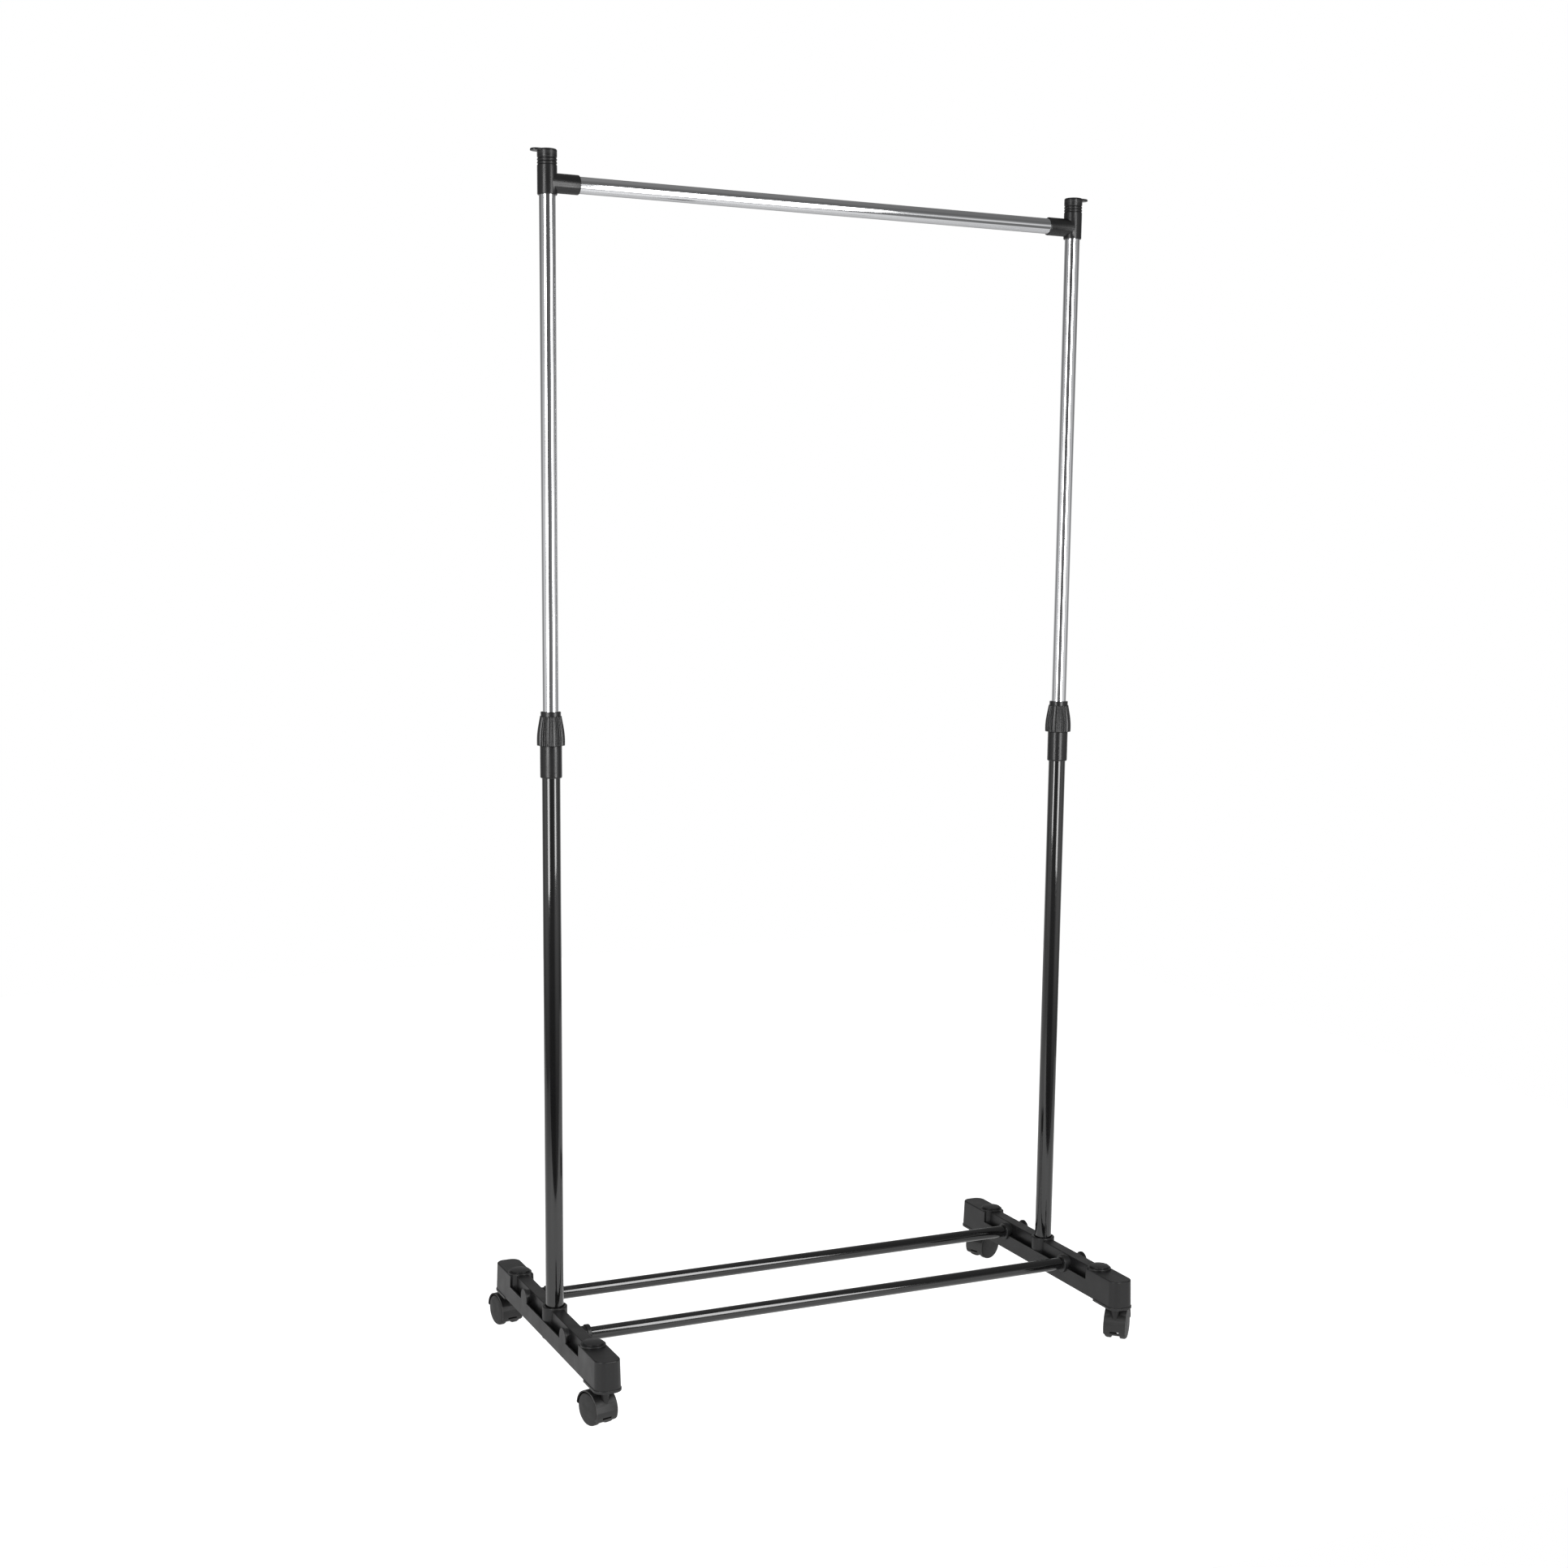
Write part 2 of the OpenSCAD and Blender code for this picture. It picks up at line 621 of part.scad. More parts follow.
left_foot();
right_foot();
foot_cap(-1, -1);  // front_left_foot_cap
foot_cap(-1, 1);  // rear_left_foot_cap
foot_cap(1, -1);  // front_right_foot_cap
foot_cap(1, 1);  // rear_right_foot_cap
shoe_rail(-1);  // front_shoe_rail
shoe_rail(1);  // rear_shoe_rail
lower_upright(-1);  // left_lower_upright
lower_upright(1);  // right_lower_upright
tube_plug(-1);  // left_tube_plug
tube_plug(1);  // right_tube_plug
upright_screw(-1);  // left_upright_screw
upright_screw(1);  // right_upright_screw
lock_sleeve(-1);  // left_lock_sleeve
lock_sleeve(1);  // right_lock_sleeve
lock_nut(-1);  // left_lock_nut
lock_nut(1);  // right_lock_nut
upper_upright(-1);  // left_upper_upright
upper_upright(1);  // right_upper_upright
tube_glide(-1);  // left_tube_glide
tube_glide(1);  // right_tube_glide
tee(-1);  // left_tee
tee(1);  // right_tee
end_cap(-1);  // left_end_cap
end_cap(1);  // right_end_cap
hanging_rail();
caster_stem(-1, -1);  // front_left_stem
caster_stem(-1, 1);  // rear_left_stem
caster_stem(1, -1);  // front_right_stem
caster_stem(1, 1);  // rear_right_stem
grip_ring(-1, -1);  // front_left_grip_ring
grip_ring(-1, 1);  // rear_left_grip_ring
grip_ring(1, -1);  // front_right_grip_ring
grip_ring(1, 1);  // rear_right_grip_ring
caster_hood(-1, -1, front_left_turn);  // front_left_hood
caster_hood(-1, 1, rear_left_turn);  // rear_left_hood
caster_hood(1, -1, front_right_turn);  // front_right_hood
caster_hood(1, 1, rear_right_turn);  // rear_right_hood
caster_axle(-1, -1, front_left_turn);  // front_left_axle
caster_axle(-1, 1, rear_left_turn);  // rear_left_axle
caster_axle(1, -1, front_right_turn);  // front_right_axle
caster_axle(1, 1, rear_right_turn);  // rear_right_axle
caster_wheel(-1, -1, front_left_turn, -1);  // front_left_wheel_a
caster_wheel(-1, -1, front_left_turn, 1);  // front_left_wheel_b
caster_wheel(-1, 1, rear_left_turn, -1);  // rear_left_wheel_a
caster_wheel(-1, 1, rear_left_turn, 1);  // rear_left_wheel_b
caster_wheel(1, -1, front_right_turn, -1);  // front_right_wheel_a
caster_wheel(1, -1, front_right_turn, 1);  // front_right_wheel_b
caster_wheel(1, 1, rear_right_turn, -1);  // rear_right_wheel_a
caster_wheel(1, 1, rear_right_turn, 1);  // rear_right_wheel_b
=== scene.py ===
# %% [markdown]
# # Dressing a rolling clothes rack
# The measured model already knows where every tube, foot and wheel stands and how it moves. This
# lesson gives each piece its finished surface: rounded mouldings, a fluted nut, chrome and powder
# coat. Every new piece is modelled exactly where the measured one stands, and then it is tied to
# the body that it moves with. Lengths in the cells are millimetres, as on a drawing.

# %% Load the measured frame
import json
import math

import bmesh
import bpy
from mathutils import Matrix, Quaternion, Vector


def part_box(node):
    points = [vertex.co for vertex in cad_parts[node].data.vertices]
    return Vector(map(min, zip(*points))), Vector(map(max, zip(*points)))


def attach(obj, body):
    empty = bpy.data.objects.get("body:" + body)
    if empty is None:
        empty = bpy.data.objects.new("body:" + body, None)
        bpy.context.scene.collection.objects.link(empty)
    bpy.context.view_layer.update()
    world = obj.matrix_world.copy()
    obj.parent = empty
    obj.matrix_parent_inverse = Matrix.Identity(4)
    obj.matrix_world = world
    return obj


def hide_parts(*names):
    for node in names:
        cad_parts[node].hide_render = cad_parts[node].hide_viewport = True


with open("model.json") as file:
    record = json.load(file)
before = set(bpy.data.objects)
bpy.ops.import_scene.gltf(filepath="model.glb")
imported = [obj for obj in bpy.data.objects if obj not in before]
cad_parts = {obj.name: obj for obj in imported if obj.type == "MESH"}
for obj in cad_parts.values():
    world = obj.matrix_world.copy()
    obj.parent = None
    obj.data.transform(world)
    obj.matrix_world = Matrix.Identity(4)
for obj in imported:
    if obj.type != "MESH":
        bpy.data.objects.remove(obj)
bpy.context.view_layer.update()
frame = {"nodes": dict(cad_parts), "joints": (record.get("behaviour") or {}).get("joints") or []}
scene = bpy.context.scene
MM = 0.001

# %% [markdown]
# ## Places and joints
# A rack is built from tubes, so nearly every place is the middle or the end of a measured box.
# The two helpers below read those boxes in millimetres. The casters stand at odd angles, and their
# angle can't be read from a box, but it follows from two joints: the wheel turns about the axle,
# and the hood swivels about the stem.

# %% Read places from the measured boxes
def corners(node):
    """The lowest and the highest corner of a measured node, in millimetres."""
    low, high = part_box(node)
    return low / MM, high / MM


def middle(node):
    low, high = corners(node)
    return (low + high) / 2


FOOT_ENDS = ("front_left", "rear_left", "front_right", "rear_right")
joint_place = {j["name"]: Vector(j["pos_m"]) / MM for j in frame["joints"] if "pos_m" in j}
post_x = {side: middle(f"{side}_lower_upright").x for side in ("left", "right")}
for side in post_x:
    print(side, "post stands at x =", round(post_x[side], 1), "mm")


# %% [markdown]
# ## Turning, blocks and booleans
# Most of a rack comes off a lathe in the maker's drawing: tubes, sockets, discs, nuts and wheels.
# `turned` draws half of the outline as a few points, rounds the corners with a vertex bevel, and
# spins it. A mesh cylinder with loop cuts would do as well, but the outline keeps all the sizes in
# one readable list. Moulded shapes start from a block whose edges are bevelled before they are
# joined, because a bevel after a boolean trips over the short edges that the boolean leaves.

# %% Shapes turned on a lathe
def turned(points, steps=96, ring=False, sweep=360.0):
    """Spins (radius, height, rounding) points about Z; ring joins the last point to the first."""
    bm = bmesh.new()
    verts = [bm.verts.new((p[0] * MM, 0, p[1] * MM)) for p in points]
    for pair in zip(verts, verts[1:]):
        bm.edges.new(pair)
    if ring:
        bm.edges.new((verts[-1], verts[0]))
    for vert, point in zip(verts, points):
        if len(point) > 2:
            bmesh.ops.bevel(bm, geom=[vert], offset=point[2] * MM, offset_type="OFFSET",
                            segments=4, profile=0.5, affect="VERTICES", material=-1)
    bmesh.ops.spin(bm, geom=bm.verts[:] + bm.edges[:], cent=(0, 0, 0), axis=(0, 0, 1),
                   angle=math.radians(sweep), steps=steps, use_merge=sweep == 360)
    bmesh.ops.remove_doubles(bm, verts=bm.verts, dist=1e-6)
    if sweep < 360:
        bmesh.ops.holes_fill(bm, edges=[e for e in bm.edges if e.is_boundary], sides=0)
    bmesh.ops.recalc_face_normals(bm, faces=bm.faces)
    return bm


def moved(bm, x=0.0, y=0.0, z=0.0, turn=None):
    """Turns a shape by a matrix, if one is given, and carries it to a place in millimetres."""
    matrix = Matrix.Translation(Vector((x, y, z)) * MM) @ (turn or Matrix())
    bmesh.ops.transform(bm, matrix=matrix, verts=bm.verts)
    return bm


ALONG_X = Matrix.Rotation(math.radians(90), 4, "Y")
ALONG_Y = Matrix.Rotation(math.radians(-90), 4, "X")


# %% Blocks with rounded edges
def block(low, high):
    """A box between two corners, in millimetres."""
    bm = bmesh.new()
    bmesh.ops.create_cube(bm, size=1)
    size = [(b - a) * MM for a, b in zip(low, high)]
    bmesh.ops.scale(bm, vec=size, verts=bm.verts)
    return moved(bm, *[(a + b) / 2 for a, b in zip(low, high)])


def round_edges(bm, radius, chosen, segments=3):
    """Rounds the edges for which chosen(edge) is true."""
    bmesh.ops.bevel(bm, geom=[e for e in bm.edges if chosen(e)], offset=radius * MM,
                    offset_type="OFFSET", segments=segments, profile=0.5, affect="EDGES",
                    clamp_overlap=True, material=-1)
    return bm


def runs(edge, axis):
    """True if an edge runs along an axis: 0, 1 or 2."""
    a, b = (v.co for v in edge.verts)
    return abs((a - b)[axis]) > 0.9 * (a - b).length


def level(edge, height):
    """True if both ends of an edge are at a height in millimetres."""
    return all(abs(v.co.z / MM - height) < 0.01 for v in edge.verts)


def sharp_turn(edge, degrees=50):
    """True if the surface folds along an edge by more than some degrees."""
    return edge.is_manifold and math.degrees(edge.calc_face_angle()) > degrees


# %% Uniting and cutting closed shapes
def worked(base, *steps):
    """The base shape after one boolean after another, each (operation, shape)."""
    shapes = []
    for bm in (base, *(shape for _, shape in steps)):
        mesh = bpy.data.meshes.new("work")
        bm.to_mesh(mesh)
        bm.free()
        shapes.append(bpy.data.objects.new("work", mesh))
        scene.collection.objects.link(shapes[-1])
    for (operation, _), tool in zip(steps, shapes[1:]):
        modifier = shapes[0].modifiers.new("cut", "BOOLEAN")
        modifier.operation, modifier.object, modifier.solver = operation, tool, "MANIFOLD"
    bm = bmesh.new()
    bm.from_object(shapes[0], bpy.context.evaluated_depsgraph_get())
    for obj in shapes:
        bpy.data.objects.remove(obj)
    bmesh.ops.dissolve_degenerate(bm, edges=bm.edges, dist=1e-6)
    return bm


UNITE, CUT = "UNION", "DIFFERENCE"


# %% [markdown]
# ## From shape to piece
# A piece is a mesh with a name, a finish and a body to ride on. Its object stays at the origin, so
# its place is in the mesh and the finish can read plain object coordinates. Faces are shaded
# smooth, and every fold sharper than an angle is kept crisp. Weighted normals let the large faces
# stay even, so that only the narrow roundings between them turn in the light.

# %% Make a piece and tie it to its body
made = []


def piece(name, bm, coat, slot, body, *nodes, crisp=38):
    """Turns a shape into a piece that rides on a body and stands for measured nodes."""
    for face in bm.faces:
        face.smooth = True
    mesh = bpy.data.meshes.new(name)
    bm.to_mesh(mesh)
    bm.free()
    mesh.set_sharp_from_angle(angle=math.radians(crisp))
    mesh.materials.append(coat)
    obj = bpy.data.objects.new(name, mesh)
    scene.collection.objects.link(obj)
    obj.modifiers.new("even_shading", "WEIGHTED_NORMAL").keep_sharp = True
    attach(obj, body)
    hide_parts(*nodes)
    triangles = sum(len(p.vertices) - 2 for p in mesh.polygons)
    made.append((name, triangles))
    print(f"{name}: {triangles} triangles")
    return obj


# %% [markdown]
# ## Finishes
# Six finishes dress the whole rack. All are built by one helper, so that they differ only in
# numbers: a tone that drifts a little between two colours, a gloss that drifts with it, a fine
# grain and a slow waviness in the surface, and edges rubbed a little lighter. A painted texture
# could hold the same, but a procedural one stays sharp from every distance and needs no unwrapping.

# %% One helper for every finish
def finish(name, dark, light, gloss, tone=40, stretch=(1, 1, 1), grain=0, grain_depth=0.0,
           wave=0, wave_depth=0.0, rub=0.0, **constants):
    """A Principled finish; gloss is its lowest and highest roughness, depths are in millimetres."""
    material = bpy.data.materials.new(name)
    material.use_nodes = True
    nodes, links = material.node_tree.nodes, material.node_tree.links
    shader = nodes["Principled BSDF"]
    for socket, value in constants.items():
        shader.inputs[socket.replace("_", " ")].default_value = value
    place = nodes.new("ShaderNodeTexCoord")
    mapping = nodes.new("ShaderNodeMapping")
    mapping.inputs["Scale"].default_value = stretch
    links.new(place.outputs["Object"], mapping.inputs["Vector"])

    def noise(scale, detail=3.0):
        node = nodes.new("ShaderNodeTexNoise")
        node.inputs["Scale"].default_value = scale
        node.inputs["Detail"].default_value = detail
        links.new(mapping.outputs["Vector"], node.inputs["Vector"])
        return node.outputs["Fac"]

    drift = noise(tone)
    colour = nodes.new("ShaderNodeMix")
    colour.data_type = "RGBA"
    colour.inputs["A"].default_value = (*dark, 1)
    colour.inputs["B"].default_value = (*light, 1)
    links.new(drift, colour.inputs["Factor"])
    links.new(colour.outputs["Result"], shader.inputs["Base Color"])
    spread = nodes.new("ShaderNodeMapRange")
    spread.inputs["From Min"].default_value, spread.inputs["From Max"].default_value = 0.3, 0.7
    spread.inputs["To Min"].default_value, spread.inputs["To Max"].default_value = gloss
    links.new(drift, spread.inputs["Value"])
    links.new(spread.outputs["Result"], shader.inputs["Roughness"])
    normal = None
    for scale, depth, detail in ((grain, grain_depth, 2.0), (wave, wave_depth, 1.0)):
        if scale:
            bump = nodes.new("ShaderNodeBump")
            bump.inputs["Distance"].default_value = depth * MM
            links.new(noise(scale, detail), bump.inputs["Height"])
            if normal:
                links.new(normal, bump.inputs["Normal"])
            normal = bump.outputs["Normal"]
    if normal:
        links.new(normal, shader.inputs["Normal"])
    if rub:
        rubbed_edges(nodes, links, colour, shader, rub)
    return material


def rubbed_edges(nodes, links, colour, shader, rub):
    """Lightens outer edges, where handling polishes a moulding."""
    geometry = nodes.new("ShaderNodeNewGeometry")
    edge = nodes.new("ShaderNodeMapRange")
    edge.inputs["From Min"].default_value, edge.inputs["From Max"].default_value = 0.52, 0.62
    edge.inputs["To Max"].default_value = rub
    links.new(geometry.outputs["Pointiness"], edge.inputs["Value"])
    worn = nodes.new("ShaderNodeMix")
    worn.data_type = "RGBA"
    worn.inputs["B"].default_value = (0.16, 0.16, 0.16, 1)
    links.new(edge.outputs["Result"], worn.inputs["Factor"])
    links.new(colour.outputs["Result"], worn.inputs["A"])
    links.new(worn.outputs["Result"], shader.inputs["Base Color"])


# %% The six finishes
moulded = finish("satin_moulded_plastic", (0.009, 0.009, 0.0095), (0.016, 0.016, 0.0165),
                 (0.33, 0.45), tone=35, grain=1800, grain_depth=0.012, wave=28, wave_depth=0.25,
                 rub=0.25)
gripped = finish("smooth_moulded_plastic", (0.011, 0.011, 0.0115), (0.016, 0.016, 0.0165),
                 (0.24, 0.32), tone=60, grain=2200, grain_depth=0.005, rub=0.2)
wheel_nylon = finish("moulded_nylon", (0.009, 0.009, 0.0095), (0.017, 0.0165, 0.016),
                     (0.38, 0.52), tone=120, grain=1500, grain_depth=0.015, rub=0.3)
powder = finish("black_powder_coat", (0.004, 0.004, 0.0042), (0.007, 0.007, 0.0073),
                (0.08, 0.11), tone=25, grain=260, grain_depth=0.0015, Coat_Weight=1.0,
                Coat_Roughness=0.06)
zinc = finish("zinc_plated_steel", (0.42, 0.42, 0.43), (0.62, 0.62, 0.63), (0.22, 0.38),
              tone=300, stretch=(1, 1, 6), grain=2500, grain_depth=0.004, Metallic=1.0)
nylon = finish("natural_nylon", (0.62, 0.61, 0.57), (0.74, 0.73, 0.69), (0.35, 0.48),
               tone=80, grain=1500, grain_depth=0.01)


def chrome_along(name, stretch):
    """Bright chrome whose faint polishing lines follow the tube."""
    return finish(name, (0.80, 0.81, 0.83), (0.88, 0.885, 0.90), (0.05, 0.09), tone=220,
                  stretch=stretch, wave=300, wave_depth=0.0004, Metallic=1.0)


chrome_upright = chrome_along("chrome_upright", (1, 1, 0.03))
chrome_crosswise = chrome_along("chrome_crosswise", (0.03, 1, 1))
print("finishes:", len(bpy.data.materials))

# %% [markdown]
# ## Tubes
# The uprights, the hanging rail and the two shoe rails are plain steel tubes. The measured tubes
# are right in size, but they are made of flat strips, and chrome shows every strip. So each is
# turned again with many more steps, with its wall and with lightly broken edges at both ends. A
# ring of vertices 1 mm from each end keeps the rounding out of the long wall's shading.

# %% Turn the tubes
TUBE_WALL = 1.0


def tube(name, node, axis, coat, slot, body):
    """A tube that fills a measured tube's box, along X (0) or Z (2)."""
    low, high = corners(node)
    across = 1
    radius, length = (high - low)[across] / 2, (high - low)[axis]
    inner, edge = radius - TUBE_WALL, 0.25
    bm = turned([(inner, 0, edge), (radius, 0, edge), (radius, 1), (radius, length - 1),
                 (radius, length, edge), (inner, length, edge)], steps=128, ring=True)
    turn = ALONG_X if axis == 0 else None
    centre = (low + high) / 2
    centre[axis] = low[axis]
    return piece(name, moved(bm, *centre, turn=turn), coat, slot, body, node)


for side in post_x:
    tube(f"{side}_post_tube", f"{side}_lower_upright", 2, powder, "powder_coated_steel", "base")
    tube(f"{side}_chrome_tube", f"{side}_upper_upright", 2, chrome_upright, "chromed_tube",
         "hanger_frame")
for end in ("front", "rear"):
    tube(f"{end}_shoe_tube", f"{end}_shoe_rail", 0, powder, "powder_coated_steel", "base")
tube("clothes_bar", "hanging_rail", 0, chrome_crosswise, "chromed_tube", "hanger_frame")

# %% [markdown]
# ## The foot
# Each foot is one long injection moulding, hollow underneath. Its outer wall leans in by about a
# millimetre towards the top, so that it slips out of its mould. Between the two high end blocks
# the wall is low and thin, with an open trough behind it on each side of a narrow spine, and round
# bosses stand across for the post, the shoe rails and the two disc caps. It could be carved from
# one cage with subdivision, but the sharp troughs want booleans: first the wall, then the cuts,
# then each boss with its own rounded rim.

# %% The foot's main sizes
foot_low, foot_high = corners("left_foot")
LIP_Z = foot_low.z                 # underside of the lip around the end blocks
UNDER = LIP_Z + 2.5                # underside of the foot
WALL_TOP = UNDER + 20.5            # top of the low side walls
TOP = UNDER + 35.5                 # top of the end blocks and the spine
LIP_REACH, COLLAR = 0.8, 2.0
HALF_W = (foot_high.x - foot_low.x - LIP_REACH - COLLAR) / 2
HALF_L = foot_high.y - LIP_REACH
DRAFT = 0.9                        # how far the wall leans in over its whole height
WALL = 2.5
CORNER = 12.0
SPINE = 8.5                        # half the spine's width
TROUGH_Z = UNDER + 8
BLOCK_Y = 132.0                    # where the end blocks start
LIP_Y = 153.0
SHOE_Y, SHOE_Z = abs(middle("front_shoe_rail").y), middle("front_shoe_rail").z
SHOE_R = 11.8
CAP_Y = abs(middle("front_left_foot_cap").y)
STEM_Y = abs(joint_place["front_left_swivel"].y)
print("foot:", round(2 * HALF_W, 1), "wide,", round(2 * HALF_L, 1), "long")


# %% The outer wall, with its troughs cut
def rounded_slab(half_w, half_l, low, high, corner, draft=0.0):
    """A slab with rounded corners in plan, whose top is drawn in by the draft."""
    bm = block((-half_w, -half_l, low), (half_w, half_l, high))
    round_edges(bm, corner, lambda e: runs(e, 2), segments=12)
    for vert in bm.verts:
        if vert.co.z / MM > high - 0.01:
            vert.co.x *= (half_w - draft) / half_w
            vert.co.y *= (half_l - draft) / half_l
    return bm


def foot_wall():
    bm = rounded_slab(HALF_W, HALF_L, UNDER, TOP, CORNER, DRAFT)
    round_edges(bm, 1.5, lambda e: level(e, TOP), segments=4)
    cuts = [(CUT, block((-40, -BLOCK_Y, WALL_TOP), (40, BLOCK_Y, 120)))]
    for sx in (-1, 1):
        for sy in (-1, 1):
            for start, end in ((0, SHOE_Y - SHOE_R), (SHOE_Y + SHOE_R, BLOCK_Y)):
                x, y = sorted((sx * 6, sx * (HALF_W - WALL))), sorted((sy * start, sy * end))
                cuts.append((CUT, block((x[0], y[0] - 0.01, TROUGH_Z), (x[1], y[1] + 0.01, 120))))
    bm = worked(bm, *cuts)
    return round_edges(bm, 0.5, lambda e: level(e, WALL_TOP) and runs(e, 1) and sharp_turn(e))


# %% The bosses that stand on it
def spine():
    bm = block((-SPINE, -BLOCK_Y - 6, UNDER + 6), (SPINE, BLOCK_Y + 6, TOP - 0.05))
    for vert in bm.verts:
        if vert.co.z / MM > TOP - 1:
            vert.co.x *= 0.95
    return round_edges(bm, 1.0, lambda e: level(e, TOP - 0.05) and runs(e, 1), segments=3)


def post_socket():
    top = foot_high.z
    return turned([(0, UNDER + 0.5), (15.5, UNDER + 0.5), (15.4, top, 1.3), (12.3, top, 0.7),
                   (12.0, top - 1.4), (0, top - 1.4)], steps=96)


def disc_boss(sy):
    top = corners("front_left_foot_cap")[1].z - 2.5
    boss = turned([(0, UNDER + 0.5), (15, UNDER + 0.5), (15, top, 0.9), (0, top)], steps=96)
    return moved(boss, y=sy * CAP_Y)


def shoe_socket(sy):
    """An arch in each side wall, a slimmer socket between them and a collar on the inner side."""
    side = HALF_W - 0.45
    socket = turned([(0, -side), (SHOE_R, -side, 0.7), (SHOE_R, 3 - side, 0.4), (10.4, 3 - side),
                     (10.4, side - 3), (SHOE_R, side - 3, 0.4), (SHOE_R, HALF_W + COLLAR, 0.9),
                     (0, HALF_W + COLLAR)], steps=72)
    return moved(socket, y=sy * SHOE_Y, z=SHOE_Z, turn=ALONG_X)


def across(start, end, half_width=40.0):
    """A tall cutting block between two places along the foot."""
    y = sorted((start, end))
    return block((-half_width, y[0], 0), (half_width, y[1], 120))


def lip(sy):
    """The thin lip round one end; the far side of the same slab is cut away."""
    bm = rounded_slab(HALF_W + LIP_REACH, HALF_L + LIP_REACH, LIP_Z, UNDER + 1, CORNER + LIP_REACH)
    round_edges(bm, 0.7, lambda e: level(e, UNDER + 1) or level(e, LIP_Z), segments=3)
    return worked(bm, (CUT, across(sy * LIP_Y, -sy * 300)))


# %% The hollows and sockets cut into it
def hollow(y_from, y_to):
    """Two cutters for the hollow underneath: wide and low, and narrow up into the spine."""
    inner = HALF_W - WALL
    y = sorted((y_from, y_to))
    return [(CUT, block((-inner, y[0], 30), (inner, y[1], TROUGH_Z - WALL))),
            (CUT, block((-SPINE + WALL, y[0], 30), (SPINE - WALL, y[1], TOP - WALL)))]


def block_hollow(sy):
    """The hollow in an end block, with the stem's socket and its rib left standing."""
    bm = rounded_slab(HALF_W - WALL, HALF_L - WALL, 30, TOP - WALL, CORNER - WALL, DRAFT)
    boss = turned([(0, 20), (7.5, 20), (7.5, 95), (0, 95)], steps=48)
    rib = across(sy * STEM_Y, sy * 250, half_width=1.2)
    return worked(bm, (CUT, across(sy * (CAP_Y + 17), -sy * 300)),
                  (CUT, moved(boss, y=sy * STEM_Y)), (CUT, rib))


def bore(radius, low, high, y=0.0, steps=64):
    """A cut for a round hole about Z."""
    return (CUT, moved(turned([(0, low), (radius, low), (radius, high), (0, high)], steps), y=y))


def foot():
    """The whole left foot about the middle of its post: bosses first, then hollows and holes."""
    pad = turned([(0, UNDER - 1.9), (16, UNDER - 1.9, 0.6), (16, UNDER + 1), (0, UNDER + 1)])
    steps = [(UNITE, spine()), (UNITE, post_socket()), (UNITE, pad)]
    for sy in (-1, 1):
        steps += [(UNITE, disc_boss(sy)), (UNITE, shoe_socket(sy)), (UNITE, lip(sy))]
    below, above = 30, 120         # well clear of the foot
    for sy in (-1, 1):
        steps += hollow(sy * 18, sy * (SHOE_Y - SHOE_R - WALL))
        steps += hollow(sy * (SHOE_Y + SHOE_R + WALL), sy * (CAP_Y - 15))
        steps += [bore(12.5, below, WALL_TOP + 3, sy * CAP_Y), (CUT, block_hollow(sy)),
                  bore(4.15, below, LIP_Z + 29, sy * STEM_Y),       # the stem's socket
                  bore(8.05, TOP - 8.7, above, sy * CAP_Y)]         # the disc cap's plug
        rail_hole = turned([(0, 3.5 - HALF_W), (8.05, 3.5 - HALF_W), (8.05, 40), (0, 40)], 64)
        steps.append((CUT, moved(rail_hole, y=sy * SHOE_Y, z=SHOE_Z, turn=ALONG_X)))
    steps += [bore(11.05, UNDER + 9.5, above),                      # the post
              bore(6.6, below, UNDER + 4.2), bore(3.3, below, UNDER + 20)]     # its screw
    return worked(foot_wall(), *steps)


# %% Place the two feet
for side in post_x:
    bm = foot()
    if side == "right":
        bmesh.ops.scale(bm, vec=(-1, 1, 1), verts=bm.verts)
        bmesh.ops.recalc_face_normals(bm, faces=bm.faces)
    piece(f"{side}_foot_moulding", moved(bm, x=post_x[side]), moulded, "moulded_black", "base",
          f"{side}_foot")

# %% [markdown]
# ## Disc caps
# A stepped disc closes each socket on top of a foot. It has a lower ring, a dark groove and a
# gently domed top, all of which read as fine lines in the light. One outline, turned, gives them.

# %% Turn the disc caps
for corner in FOOT_ENDS:
    low, high = corners(f"{corner}_foot_cap")
    centre, seat = (low + high) / 2, high.z - 2.5
    disc = turned([(0, low.z), (8, low.z, 0.6), (8, seat), (12.9, seat, 0.25),
                   (12.9, seat + 0.75, 0.3), (12.0, seat + 0.8), (12.0, seat + 1.15),
                   (12.5, seat + 1.3, 0.2), (12.4, seat + 1.9, 0.5), (8, seat + 2.35),
                   (4, seat + 2.47), (0, seat + 2.5)])
    piece(f"{corner}_disc_cap", moved(disc, centre.x, centre.y), moulded, "moulded_black", "base",
          f"{corner}_foot_cap")

# %% [markdown]
# ## Twist locks
# A lock has two moulded parts. The sleeve is clamped on the black tube and carries a thread and
# four spring fingers. The nut is shaped like a tulip with eighteen soft flutes for the hand; turned
# down, it squeezes the fingers onto the chrome tube. The nut is turned plain first, and then every
# vertex is pushed in towards the flutes, more in the belly and not at all at the rim. Cutting the
# flutes with eighteen cylinders would leave knife edges where the real ribs are round.

